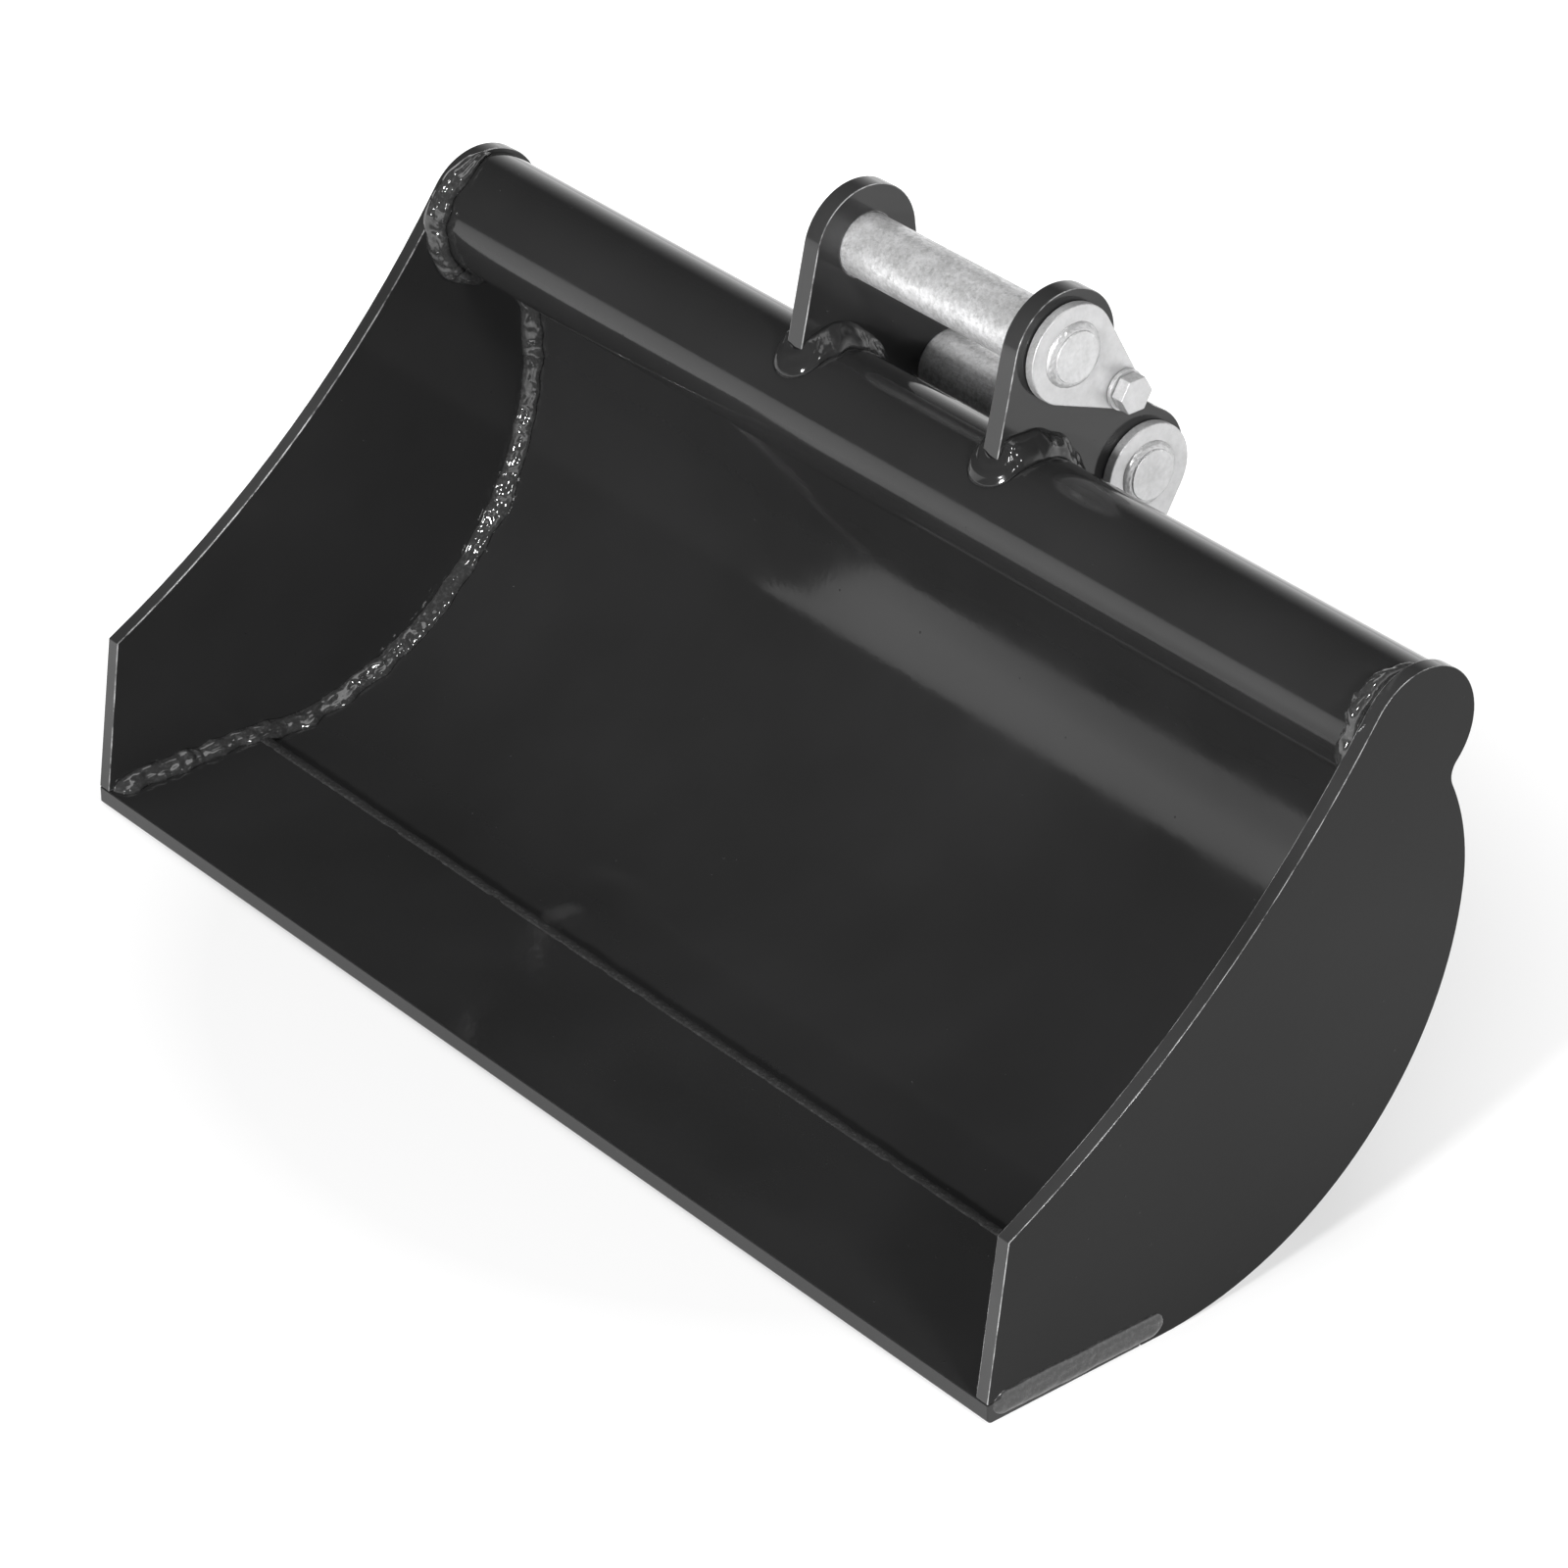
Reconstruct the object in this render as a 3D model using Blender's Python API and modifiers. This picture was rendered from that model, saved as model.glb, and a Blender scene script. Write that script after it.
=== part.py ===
"""Ditching bucket for a 1 tonne mini excavator: a welded plate bucket with two removable pins.

The part's frame: X across the bucket, +Y from the cutting edge to the hinge side, +Z up.
The cutting edge lies flat on z = 0, and the origin is under the middle of the whole part.
Outlines are worked out in the (y, z) plane with y counted from the tip of the cutting edge.
"""
import math

import bmesh
import bpy
from mathutils import Matrix, Vector

MM = 0.001
GAP = 0.3 * MM                    # between pieces that touch

# Side plates and cutting edge
WIDTH = 520 * MM                  # over both side plates
SIDE_THICKNESS = 6 * MM
LIP_DEPTH = 70 * MM
LIP_THICKNESS = 8 * MM
LIP_CHAMFER = 1.5 * MM
NOSE = (8.3 * MM, 71.5 * MM)      # corner where the front edge changes slope
FRONT_RADIUS = 460 * MM           # hollow front edge, from the nose to the tube lobe
BELLY_START = 79.5 * MM           # where the flat bottom runs out into the belly
BELLY_RADIUS = 137.4 * MM         # round belly, tangent to the ground
BACK_RADIUS = 88 * MM             # tighter round behind, tangent to the belly
BACK_START = -4.0                 # degrees on the belly circle where the back round takes over
NOTCH_RADIUS = 8 * MM             # hollow between the back round and the tube lobe
WRAPPER_THICKNESS = 5 * MM

# Torque tube: 1 1/2 inch pipe
TUBE_CENTRE = (191 * MM, 197.5 * MM)
TUBE_RADIUS = 24.15 * MM
TUBE_WALL = 3.7 * MM
LOBE_CENTRE = (191.3 * MM, 198.2 * MM)   # the side plates' round top, just proud of the tube
LOBE_RADIUS = 25.3 * MM

# Hanger ears and pins
EAR_GAP = 100 * MM
EAR_THICKNESS = 8 * MM
EAR_SEAT = 0.4 * MM               # between an ear and the round surfaces it is welded to
UPPER_PIN = (209.6 * MM, 256.4 * MM)
LOWER_PIN = (248.3 * MM, 195.2 * MM)
PIN_RADIUS = 12.5 * MM
UPPER_LOBE_RADIUS = 23.7 * MM
LOWER_LOBE_CENTRE = (246.6 * MM, 197 * MM)
LOWER_LOBE_RADIUS = 22.4 * MM
EAR_HOLLOW_RADIUS = 55 * MM       # between the two lobes, at the back
EAR_FOOT_ANGLE = 124.0            # degrees round the tube, where the ear's front edge lands
EAR_HEEL_ANGLE = -5.0             # degrees on the back round, where the ear's lower edge lands
EAR_HEEL_RADIUS = 11 * MM         # round the lower bolt
PIN_TAIL = 7 * MM                 # beyond the far ear
PIN_CHAMFER = 2 * MM

# Flags: keeper plates welded on the pins' heads, each bolted to the right ear
FLAG_THICKNESS = 4 * MM
FLAG_RADIUS = 19.3 * MM
FLAG_TIP_RADIUS = 8 * MM
FLAG_REACH = 32.8 * MM            # pin centre to bolt centre
UPPER_FLAG_ANGLE = -41.5          # degrees in the (y, z) plane
LOWER_FLAG_ANGLE = -100.5
SPIGOT_RADIUS = 10 * MM           # the pin's turned-down end, through the flag
SPIGOT_PROUD = 2.5 * MM
PIN_WELD_LEG = 2 * MM
PIN_WELD_CROWN = 0.7              # of the leg, both ways, at the middle of its face

# M8 x 12 keeper bolts
BOLT_RADIUS = 4 * MM
BOLT_LENGTH = 12 * MM
BOLT_HEAD_FLATS = 13 * MM
BOLT_HEAD_HEIGHT = 5.3 * MM
BOLT_SHANK_OVERLAP = 1 * MM       # of the shank into the head, which are one solid
WASHER_RADIUS = 8 * MM
WASHER_HOLE_RADIUS = 4.4 * MM
WASHER_THICKNESS = 1.6 * MM

# Weld beads
BEAD_RADIUS = 2.5 * MM
BEAD_OFFSET = BEAD_RADIUS + GAP   # from a plate's face to the middle of a bead on it
TUBE_BEAD_RADIUS = 3.2 * MM       # the heavier beads at the tube's ends
TUBE_BEAD_OFFSET = TUBE_BEAD_RADIUS + GAP
TUBE_BEAD_ARC = (112, 262)        # degrees round the tube, over the front and down to the wrapper
BEAD_BEVEL_STEPS = 2
BEAD_START = 4 * MM               # the inner corner beads begin this far behind the lip's tip
SEAM_END_GAP = 8 * MM             # straight seams stop this far short of the beads across their ends
SEAM_LIFT = 0.1 * MM              # keeps the lip seam's bead clear of the lip's back edge
EAR_BEAD_RADIUS = 3.2 * MM
EAR_BEAD_FACE_GAP = 0.6 * MM      # keeps the ears' inner faces free for the arm between them
EAR_BEAD_FOOT_ANGLE = EAR_FOOT_ANGLE - 1
EAR_BEAD_HEEL_ANGLE = EAR_HEEL_ANGLE + 6
LIP_END_WELD_PROUD = 2.2 * MM
LIP_END_WELD_HEIGHT = 9 * MM
LIP_END_WELD_DROP = 2.5 * MM      # its middle, below the lip's top
LIP_END_WELD_SPAN = (3 * MM, 80.5 * MM)

# Fineness of round shapes
ARC_STEP = 5.0                    # degrees, on small rounds and weld beads
SHELL_STEP = 2.5                  # degrees, on the belly and back rounds
FRONT_STEPS = 16
TUBE_SEGMENTS = 96
PIN_SEGMENTS = 48
BOLT_SEGMENTS = 32
SHARP_ANGLE = 35                  # degrees: softer edges are shaded smooth

PAINT_COLOUR = (0.022, 0.022, 0.023)
WELD_COLOUR = (0.028, 0.028, 0.029)
ZINC_COLOUR = (0.62, 0.62, 0.60)
LOOKS = {"paint": (PAINT_COLOUR, 0.25, 0.0),    # colour, roughness and metallic share
         "weld": (WELD_COLOUR, 0.3, 0.0),
         "zinc": (ZINC_COLOUR, 0.35, 1.0)}

DEPTH = LOWER_LOBE_CENTRE[0] + LOWER_LOBE_RADIUS    # tip of the lip to the back of the ears
SIDE_X = WIDTH / 2 - SIDE_THICKNESS / 2
INSIDE_X = WIDTH / 2 - SIDE_THICKNESS
EAR_IN_X = EAR_GAP / 2
EAR_OUT_X = EAR_IN_X + EAR_THICKNESS
EAR_X = (EAR_IN_X + EAR_OUT_X) / 2
FLAG_BACK_X = EAR_OUT_X + EAR_SEAT
FLAG_FACE_X = FLAG_BACK_X + FLAG_THICKNESS
BELLY_CENTRE = (BELLY_START, BELLY_RADIUS)


# ---------------------------------------------------------------- plane geometry

def polar(centre, radius, degrees):
    angle = math.radians(degrees)
    return (centre[0] + radius * math.cos(angle), centre[1] + radius * math.sin(angle))


def direction(centre, point):
    return math.degrees(math.atan2(point[1] - centre[1], point[0] - centre[0]))


def arc(centre, radius, start, end, step=ARC_STEP):
    """Points from angle start to angle end in degrees, both included, no further apart than step."""
    steps = max(2, math.ceil(abs(end - start) / step))
    return [polar(centre, radius, start + (end - start) * i / steps) for i in range(steps + 1)]


def meeting_point(centre_a, radius_a, centre_b, radius_b, side):
    """Where two circles cross; side +1 is to the left of the line from a to b."""
    a = Vector(centre_a)
    b = Vector(centre_b)
    along = (b - a).normalized()
    distance = (b - a).length
    reach = (distance ** 2 + radius_a ** 2 - radius_b ** 2) / (2 * distance)
    height = math.sqrt(radius_a ** 2 - reach ** 2)
    point = a + along * reach + Vector((-along.y, along.x)) * height * side
    return (point.x, point.y)


def tangent_angles(centre_a, radius_a, centre_b, radius_b, side):
    """Angle of both touching points of the outer tangent of two circles; side +1 is left."""
    distance = (Vector(centre_b) - Vector(centre_a)).length
    lean = math.degrees(math.acos((radius_a - radius_b) / distance))
    return direction(centre_a, centre_b) + side * lean


def back_circle():
    lead = BELLY_RADIUS - BACK_RADIUS
    return polar(BELLY_CENTRE, lead, BACK_START)


def body_curve(inset, end_angle, step=ARC_STEP):
    """The belly and back rounds, inset from the side plates' outline."""
    belly = arc(BELLY_CENTRE, BELLY_RADIUS - inset, -90, BACK_START, step)
    back = arc(back_circle(), BACK_RADIUS - inset, BACK_START, end_angle, step)
    return belly + back[1:]


def back_meets(inset, centre, radius, side):
    """Angle on the inset back round where it crosses a circle."""
    circle = back_circle()
    return direction(circle, meeting_point(circle, BACK_RADIUS - inset, centre, radius, side))


# ---------------------------------------------------------------- outlines

def side_plate_outline():
    front = meeting_point(NOSE, FRONT_RADIUS, LOBE_CENTRE, FRONT_RADIUS + LOBE_RADIUS, 1)
    front_start = direction(front, NOSE)
    front_end = direction(front, LOBE_CENTRE)
    front_edge = arc(front, FRONT_RADIUS, front_start, front_end, abs(front_end - front_start) / FRONT_STEPS)
    notch_reach = LOBE_RADIUS + NOTCH_RADIUS
    notch = meeting_point(back_circle(), BACK_RADIUS + NOTCH_RADIUS, LOBE_CENTRE, notch_reach, -1)
    lobe = arc(LOBE_CENTRE, LOBE_RADIUS, direction(LOBE_CENTRE, front), direction(LOBE_CENTRE, notch))
    hollow_end = direction(notch, back_circle())
    hollow_end += 360 if hollow_end < 0 else 0
    hollow = arc(notch, NOTCH_RADIUS, direction(notch, LOBE_CENTRE), hollow_end)
    body = body_curve(0, direction(back_circle(), notch), SHELL_STEP)
    seat = LIP_THICKNESS + GAP
    heel = [(LIP_DEPTH + GAP, 0), (LIP_DEPTH + GAP, seat), (0, seat)]
    return front_edge + lobe[1:] + hollow[1:] + body[::-1][1:] + heel


def wrapper_outline():
    clear = TUBE_RADIUS + 2 * GAP
    outer_end = back_meets(0, TUBE_CENTRE, clear, -1)
    inner_end = back_meets(WRAPPER_THICKNESS, TUBE_CENTRE, clear, -1)
    outer = [(LIP_DEPTH + GAP, 0)] + body_curve(0, outer_end, SHELL_STEP)
    inner = [(LIP_DEPTH + GAP, WRAPPER_THICKNESS)] + body_curve(WRAPPER_THICKNESS, inner_end, SHELL_STEP)
    return outer + inner[::-1]


def lip_outline():
    return [(0, LIP_THICKNESS), (0, LIP_CHAMFER), (LIP_CHAMFER, 0),
            (LIP_DEPTH, 0), (LIP_DEPTH, LIP_THICKNESS)]


def bolt_centre(pin, flag_angle):
    return polar(pin, FLAG_REACH, flag_angle)


def ear_outline():
    foot = polar(TUBE_CENTRE, TUBE_RADIUS + EAR_SEAT, EAR_FOOT_ANGLE)
    to_foot = direction(UPPER_PIN, foot)
    foot_distance = (Vector(foot) - Vector(UPPER_PIN)).length
    front_angle = to_foot + 360 - math.degrees(math.acos(UPPER_LOBE_RADIUS / foot_distance))
    upper_reach = UPPER_LOBE_RADIUS + EAR_HOLLOW_RADIUS
    lower_reach = LOWER_LOBE_RADIUS + EAR_HOLLOW_RADIUS
    hollow = meeting_point(UPPER_PIN, upper_reach, LOWER_LOBE_CENTRE, lower_reach, 1)
    upper_lobe = arc(UPPER_PIN, UPPER_LOBE_RADIUS, front_angle, direction(UPPER_PIN, hollow))
    waist_start = direction(hollow, UPPER_PIN) + 360
    waist = arc(hollow, EAR_HOLLOW_RADIUS, waist_start, direction(hollow, LOWER_LOBE_CENTRE) + 360)
    lower_bolt = bolt_centre(LOWER_PIN, LOWER_FLAG_ANGLE)
    heel_angle = tangent_angles(LOWER_LOBE_CENTRE, LOWER_LOBE_RADIUS, lower_bolt, EAR_HEEL_RADIUS, 1)
    lower_lobe = arc(LOWER_LOBE_CENTRE, LOWER_LOBE_RADIUS, direction(LOWER_LOBE_CENTRE, hollow), heel_angle)
    landing = polar(back_circle(), BACK_RADIUS + EAR_SEAT, EAR_HEEL_ANGLE)
    heel_distance = (Vector(landing) - Vector(lower_bolt)).length
    heel_end = direction(lower_bolt, landing) + math.degrees(math.acos(EAR_HEEL_RADIUS / heel_distance))
    heel_end -= 360 if heel_end > heel_angle else 0
    heel = arc(lower_bolt, EAR_HEEL_RADIUS, heel_angle, heel_end)
    corner = meeting_point(back_circle(), BACK_RADIUS + EAR_SEAT, TUBE_CENTRE, TUBE_RADIUS + EAR_SEAT, -1)
    back = arc(back_circle(), BACK_RADIUS + EAR_SEAT, EAR_HEEL_ANGLE, direction(back_circle(), corner))
    saddle = arc(TUBE_CENTRE, TUBE_RADIUS + EAR_SEAT, direction(TUBE_CENTRE, corner), EAR_FOOT_ANGLE)
    return upper_lobe + waist[1:] + lower_lobe[1:] + heel + back + saddle[1:]


def flag_outline(pin, flag_angle):
    tip = bolt_centre(pin, flag_angle)
    left = tangent_angles(pin, FLAG_RADIUS, tip, FLAG_TIP_RADIUS, 1)
    right = tangent_angles(pin, FLAG_RADIUS, tip, FLAG_TIP_RADIUS, -1)
    big = arc(pin, FLAG_RADIUS, left, right + 360)
    small = arc(tip, FLAG_TIP_RADIUS, right, left)
    return big + small


# ---------------------------------------------------------------- Blender pieces

def world(x, point):
    """A place at x, with point counted from the lip's tip."""
    return Vector((x, point[0] - DEPTH / 2, point[1]))


def clear_scene():
    for item in list(bpy.data.objects):
        bpy.data.objects.remove(item, do_unlink=True)


def new_collection(name):
    collection = bpy.data.collections.new(name)
    bpy.context.scene.collection.children.link(collection)
    return collection


def new_material(name, colour, roughness, metallic):
    material = bpy.data.materials.new(name)
    material.use_nodes = True
    shader = material.node_tree.nodes["Principled BSDF"]
    shader.inputs["Base Color"].default_value = (*colour, 1)
    shader.inputs["Roughness"].default_value = roughness
    shader.inputs["Metallic"].default_value = metallic
    material.diffuse_color = (*colour, 1)
    return material


def finish(piece, kind):
    """Give a piece its own material and put it in the bucket's collection."""
    piece.data.materials.clear()
    piece.data.materials.append(new_material(piece.name + "_" + kind, *LOOKS[kind]))
    PARTS.objects.link(piece)
    return piece


def smooth(piece):
    piece.data.shade_smooth()
    piece.data.set_sharp_from_angle(angle=math.radians(SHARP_ANGLE))


def curve_to_mesh(curve_object):
    """A mesh object in a curve object's place, with its caps welded on."""
    bpy.context.scene.collection.objects.link(curve_object)
    bpy.context.view_layer.update()
    graph = bpy.context.evaluated_depsgraph_get()
    mesh = bpy.data.meshes.new_from_object(curve_object.evaluated_get(graph))
    mesh.name = curve_object.name
    matrix = curve_object.matrix_world.copy()
    name = curve_object.name
    bpy.data.objects.remove(curve_object, do_unlink=True)
    work = bmesh.new()
    work.from_mesh(mesh)
    bmesh.ops.remove_doubles(work, verts=work.verts, dist=1e-6)
    work.to_mesh(mesh)
    work.free()
    piece = bpy.data.objects.new(name, mesh)
    piece.matrix_world = matrix
    return piece


def plate(name, outline, x, thickness, origin=(0, 0)):
    """A flat plate across X with a (y, z) outline, its origin at a place in the outline's plane."""
    data = bpy.data.curves.new(name, "CURVE")
    data.dimensions = "2D"
    data.fill_mode = "BOTH"
    data.extrude = thickness / 2
    spline = data.splines.new("POLY")
    spline.points.add(len(outline) - 1)
    for point, (y, z) in zip(spline.points, outline):
        point.co = (y - origin[0], z - origin[1], 0, 1)
    spline.use_cyclic_u = True
    piece = bpy.data.objects.new(name, data)
    piece.rotation_euler = (math.pi / 2, 0, math.pi / 2)
    piece.location = world(x, origin)
    piece = curve_to_mesh(piece)
    smooth(piece)
    return piece


def bead(name, places, radius=BEAD_RADIUS):
    """A plain round weld bead along a list of world places."""
    data = bpy.data.curves.new(name, "CURVE")
    data.dimensions = "3D"
    data.bevel_depth = radius
    data.bevel_resolution = BEAD_BEVEL_STEPS
    data.use_fill_caps = True
    spline = data.splines.new("POLY")
    spline.points.add(len(places) - 1)
    for point, place in zip(spline.points, places):
        point.co = (*place, 1)
    piece = curve_to_mesh(bpy.data.objects.new(name, data))
    smooth(piece)
    return finish(piece, "weld")


def turned(name, profile, x, centre, segments):
    """A turned piece on an axis along X; profile is (radius, distance along X), outer side first."""
    mesh = bpy.data.meshes.new(name)
    points = [(radius, 0, along) for radius, along in profile]
    edges = [(i, i + 1) for i in range(len(points) - 1)]
    if profile[0][0] > 0:
        edges.append((len(points) - 1, 0))
    mesh.from_pydata(points, edges, [])
    piece = bpy.data.objects.new(name, mesh)
    piece.rotation_euler = (0, math.pi / 2, 0)
    piece.location = world(x, centre)
    screw = piece.modifiers.new("Turn", "SCREW")
    screw.steps = segments
    screw.render_steps = segments
    screw.use_merge_vertices = True
    screw.merge_threshold = 1e-6
    screw.use_smooth_shade = True
    return piece


def cylinder(name, radius, start_x, end_x, centre, segments):
    """A round bar along X from start_x to end_x."""
    mesh = bpy.data.meshes.new(name)
    work = bmesh.new()
    bmesh.ops.create_cone(work, cap_ends=True, segments=segments, radius1=radius, radius2=radius,
                          depth=end_x - start_x, matrix=Matrix.Rotation(math.pi / 2, 4, "Y"))
    work.to_mesh(mesh)
    work.free()
    piece = bpy.data.objects.new(name, mesh)
    piece.location = world((start_x + end_x) / 2, centre)
    return piece


def cut_hole(piece, radius, x, centre, length, segments=PIN_SEGMENTS):
    """Cut a round hole along X through a piece."""
    name = piece.name + "_cutter_" + str(len(piece.modifiers))
    cutter = cylinder(name, radius, x - length / 2, x + length / 2, centre, segments)
    cutter.hide_render = True
    cutter.display_type = "WIRE"
    CUTTERS.objects.link(cutter)
    boolean = piece.modifiers.new("Hole", "BOOLEAN")
    boolean.operation = "DIFFERENCE"
    boolean.solver = "EXACT"
    boolean.object = cutter


# ---------------------------------------------------------------- the weldment

def make_side_plates():
    for side, sign in (("left", -1), ("right", 1)):
        finish(plate("side_plate_" + side, side_plate_outline(), sign * SIDE_X, SIDE_THICKNESS), "paint")


def make_shell():
    finish(plate("wrapper_plate", wrapper_outline(), 0, 2 * (INSIDE_X - GAP)), "paint")
    finish(plate("cutting_edge", lip_outline(), 0, WIDTH), "paint")


def make_tube():
    half = INSIDE_X - GAP
    inner = TUBE_RADIUS - TUBE_WALL
    profile = [(TUBE_RADIUS, half), (TUBE_RADIUS, -half), (inner, -half), (inner, half)]
    finish(turned("torque_tube", profile, 0, TUBE_CENTRE, TUBE_SEGMENTS), "paint")


def make_ears():
    for side, sign in (("left", -1), ("right", 1)):
        ear = plate("ear_" + side, ear_outline(), sign * EAR_X, EAR_THICKNESS)
        for pin in (UPPER_PIN, LOWER_PIN):
            cut_hole(ear, PIN_RADIUS + GAP, sign * EAR_X, pin, 2 * EAR_THICKNESS)
        if side == "right":
            for pin, angle in ((UPPER_PIN, UPPER_FLAG_ANGLE), (LOWER_PIN, LOWER_FLAG_ANGLE)):
                tapped = BOLT_RADIUS + GAP
                cut_hole(ear, tapped, EAR_X, bolt_centre(pin, angle), 2 * EAR_THICKNESS, BOLT_SEGMENTS)
        finish(ear, "paint")


# ---------------------------------------------------------------- weld beads

def make_inner_corner_welds():
    """Along each side plate's inner face, on the lip and then on the wrapper up to the tube."""
    lip_z = LIP_THICKNESS + BEAD_OFFSET
    lip_run = [(BEAD_START, lip_z), (LIP_DEPTH + GAP, lip_z)]
    inset = WRAPPER_THICKNESS + BEAD_OFFSET
    clear_of_tube_weld = TUBE_RADIUS + 2 * TUBE_BEAD_OFFSET + BEAD_OFFSET
    end_angle = back_meets(inset, TUBE_CENTRE, clear_of_tube_weld, -1)
    path = lip_run + body_curve(inset, end_angle)
    for side, sign in (("left", -1), ("right", 1)):
        x = sign * (INSIDE_X - BEAD_OFFSET)
        bead("inner_corner_weld_" + side, [world(x, point) for point in path])


def make_tube_end_welds():
    """Round each end of the tube, over the front where the side plate reaches past it."""
    path = arc(TUBE_CENTRE, TUBE_RADIUS + TUBE_BEAD_OFFSET, *TUBE_BEAD_ARC)
    for side, sign in (("left", -1), ("right", 1)):
        x = sign * (INSIDE_X - TUBE_BEAD_OFFSET)
        bead("tube_end_weld_" + side, [world(x, point) for point in path], TUBE_BEAD_RADIUS)


def make_lip_seam_weld():
    centre = (LIP_DEPTH + BEAD_OFFSET, WRAPPER_THICKNESS + BEAD_OFFSET + SEAM_LIFT)
    half = INSIDE_X - SEAM_END_GAP
    bead("lip_seam_weld", [world(-half, centre), world(half, centre)])


def make_tube_seam_welds():
    """Between the tube and the wrapper's edge: one run inside, three outside between the ears."""
    reach = TUBE_RADIUS + BEAD_OFFSET
    inset = WRAPPER_THICKNESS + BEAD_OFFSET + GAP
    inside = polar(back_circle(), BACK_RADIUS - inset, back_meets(inset, TUBE_CENTRE, reach + GAP, -1))
    outset = BEAD_OFFSET + GAP
    outside = polar(back_circle(), BACK_RADIUS + outset, back_meets(-outset, TUBE_CENTRE, reach + GAP, -1))
    end = INSIDE_X - SEAM_END_GAP
    near_ear = EAR_OUT_X + SEAM_END_GAP
    in_gap = EAR_IN_X - SEAM_END_GAP
    runs = (("inside", inside, -end, end), ("back_left", outside, -end, -near_ear),
            ("back_middle", outside, -in_gap, in_gap), ("back_right", outside, near_ear, end))
    for name, centre, start, stop in runs:
        bead("tube_seam_weld_" + name, [world(start, centre), world(stop, centre)])


def make_ear_welds():
    """Down both faces of each ear, over the tube and on down the wrapper's back."""
    out = EAR_BEAD_RADIUS + EAR_SEAT + GAP
    reach = TUBE_RADIUS + out
    off_face = EAR_BEAD_RADIUS + EAR_BEAD_FACE_GAP
    corner = meeting_point(back_circle(), BACK_RADIUS + out, TUBE_CENTRE, reach, -1)
    over_tube = arc(TUBE_CENTRE, reach, EAR_BEAD_FOOT_ANGLE, direction(TUBE_CENTRE, corner))
    down_back = arc(back_circle(), BACK_RADIUS + out, direction(back_circle(), corner), EAR_BEAD_HEEL_ANGLE)
    path = over_tube + down_back[1:]
    for side, sign in (("left", -1), ("right", 1)):
        for face, x in (("inner", EAR_IN_X - off_face), ("outer", EAR_OUT_X + off_face)):
            bead("ear_weld_" + side + "_" + face, [world(sign * x, point) for point in path], EAR_BEAD_RADIUS)


def make_lip_end_welds():
    """Flat beads outside, over the joint between each side plate and the end of the lip."""
    radius = LIP_END_WELD_HEIGHT / 2
    middle_z = LIP_THICKNESS - LIP_END_WELD_DROP
    front = (LIP_END_WELD_SPAN[0] + radius, middle_z)
    back = (LIP_END_WELD_SPAN[1] - radius, middle_z)
    outline = arc(back, radius, -90, 90) + arc(front, radius, 90, 270)
    for side, sign in (("left", -1), ("right", 1)):
        x = sign * (WIDTH / 2 + GAP + LIP_END_WELD_PROUD / 2)
        finish(plate("lip_end_weld_" + side, outline, x, LIP_END_WELD_PROUD), "weld")


# ---------------------------------------------------------------- pins, flags and bolts

def make_pin(name, centre):
    shoulder = FLAG_BACK_X - GAP
    tip = FLAG_FACE_X + SPIGOT_PROUD
    tail = -(EAR_OUT_X + PIN_TAIL)
    profile = [(0, tip), (SPIGOT_RADIUS, tip), (SPIGOT_RADIUS, shoulder), (PIN_RADIUS, shoulder),
               (PIN_RADIUS, tail + PIN_CHAMFER), (PIN_RADIUS - PIN_CHAMFER, tail), (0, tail)]
    finish(turned(name + "_bar", profile, 0, centre, PIN_SEGMENTS), "zinc")


def make_flag(name, centre, angle):
    middle_x = (FLAG_BACK_X + FLAG_FACE_X) / 2
    flag = plate(name + "_flag", flag_outline(centre, angle), middle_x, FLAG_THICKNESS, centre)
    cut_hole(flag, SPIGOT_RADIUS + GAP, middle_x, centre, 2 * FLAG_THICKNESS)
    bolt = bolt_centre(centre, angle)
    cut_hole(flag, BOLT_RADIUS + 2 * GAP, middle_x, bolt, 2 * FLAG_THICKNESS, BOLT_SEGMENTS)
    finish(flag, "zinc")


def make_pin_weld(name, centre):
    """Fillet ring between the pin's end and the flag's face."""
    inner = SPIGOT_RADIUS + GAP
    crown = PIN_WELD_CROWN * PIN_WELD_LEG
    profile = [(inner, GAP + PIN_WELD_LEG), (inner + crown, GAP + crown),
               (inner + PIN_WELD_LEG, GAP), (inner, GAP)]
    finish(turned(name + "_weld_ring", profile, FLAG_FACE_X, centre, PIN_SEGMENTS), "zinc")


def make_washer(name, centre):
    profile = [(WASHER_RADIUS, WASHER_THICKNESS), (WASHER_RADIUS, 0),
               (WASHER_HOLE_RADIUS, 0), (WASHER_HOLE_RADIUS, WASHER_THICKNESS)]
    finish(turned(name + "_washer", profile, FLAG_FACE_X + GAP, centre, BOLT_SEGMENTS), "zinc")


def make_bolt(name, centre):
    """A hexagon head bolt: the head and the shank as one solid."""
    seat_x = FLAG_FACE_X + 2 * GAP + WASHER_THICKNESS
    head_radius = BOLT_HEAD_FLATS / 2 / math.cos(math.pi / 6)
    head = cylinder(name + "_bolt", head_radius, seat_x, seat_x + BOLT_HEAD_HEIGHT, centre, 6)
    shank_end = seat_x + BOLT_SHANK_OVERLAP
    tip = seat_x - BOLT_LENGTH
    shank = cylinder(name + "_bolt_shank", BOLT_RADIUS, tip, shank_end, centre, BOLT_SEGMENTS)
    shank.hide_render = True
    shank.display_type = "WIRE"
    CUTTERS.objects.link(shank)
    union = head.modifiers.new("Shank", "BOOLEAN")
    union.operation = "UNION"
    union.solver = "EXACT"
    union.object = shank
    finish(head, "zinc")


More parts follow.
